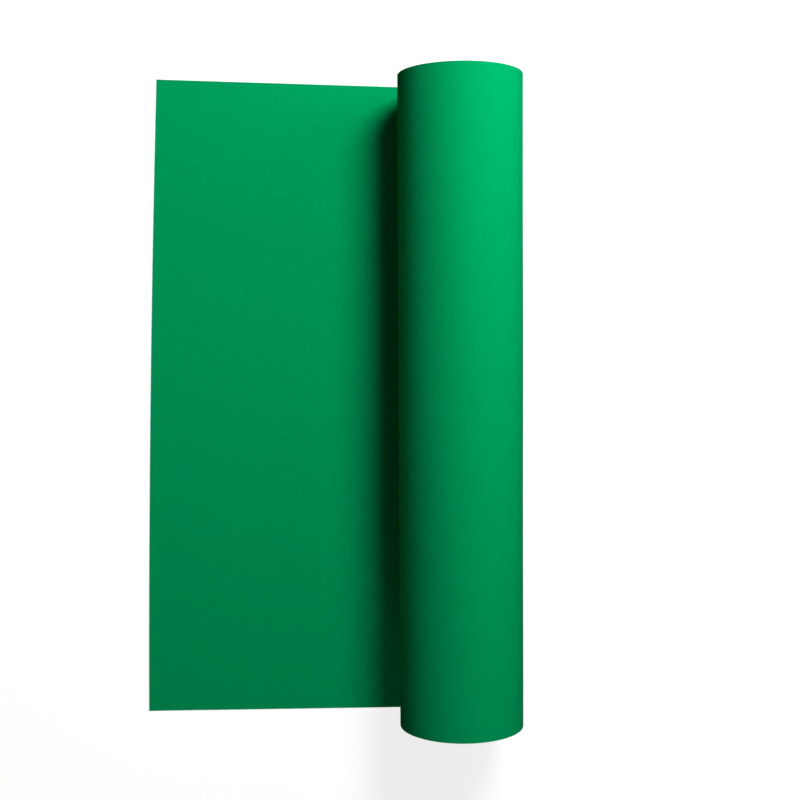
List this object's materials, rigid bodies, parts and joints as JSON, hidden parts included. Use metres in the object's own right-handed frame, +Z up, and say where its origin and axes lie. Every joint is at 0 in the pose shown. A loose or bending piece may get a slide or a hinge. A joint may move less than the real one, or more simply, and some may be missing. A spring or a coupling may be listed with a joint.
{
  "type": "backdrop paper roll",
  "caption": "Tabletop roll of matt green backdrop paper on a cardboard core with plastic end plugs, lying on its side with its leader unrolled flat.",
  "frame": {"origin": "middle of the bottom of the object's box, on the table under the roll and its leader", "axes": "+Y along the roll, +Z up, the leader points to -X and the roll lies at +X"},
  "size_m": [0.2928, 0.506, 0.0957],
  "materials": {
    "green_paper": "matt uncoated",
    "core_board": "raw kraft board",
    "core_ply": "smooth kraft ply",
    "paper_tape": "satin paper tape",
    "plug_plastic": "fine moulded grain"
  },
  "bodies": {
    "leader": {"leader_sheet": "green_paper"},
    "outer_wrap": {"outer_turn": "green_paper"},
    "coil": {"wound_paper": "green_paper", "core_inner_liner": "core_ply", "core_body": "core_board", "core_outer_ply": "core_ply", "tail_tape_front": "paper_tape", "tail_tape_middle": "paper_tape", "tail_tape_back": "paper_tape"},
    "plug_front": {"end_plug_front": "plug_plastic"},
    "plug_back": {"end_plug_back": "plug_plastic"}
  },
  "joints": [
    {"name": "unroll", "type": "slide", "parent": "leader", "child": "outer_wrap", "axis": [1, 0, 0], "range_m": [-0.15, 0.3], "deforming": ["leader_sheet"]},
    {"name": "roll_turn", "type": "hinge", "parent": "outer_wrap", "child": "coil", "pos_m": [0.09857, 0, 0.048], "axis": [0, 1, 0], "range_deg": [-180, 360]},
    {"name": "plug_front_pull", "type": "slide", "parent": "coil", "child": "plug_front", "axis": [0, -1, 0], "range_m": [0, 0.085]},
    {"name": "plug_back_pull", "type": "slide", "parent": "coil", "child": "plug_back", "axis": [0, 1, 0], "range_m": [0, 0.085]}
  ],
  "couplings": [
    {"joint": "roll_turn", "follows": "unroll", "rad_per_m": 20.833}
  ]
}
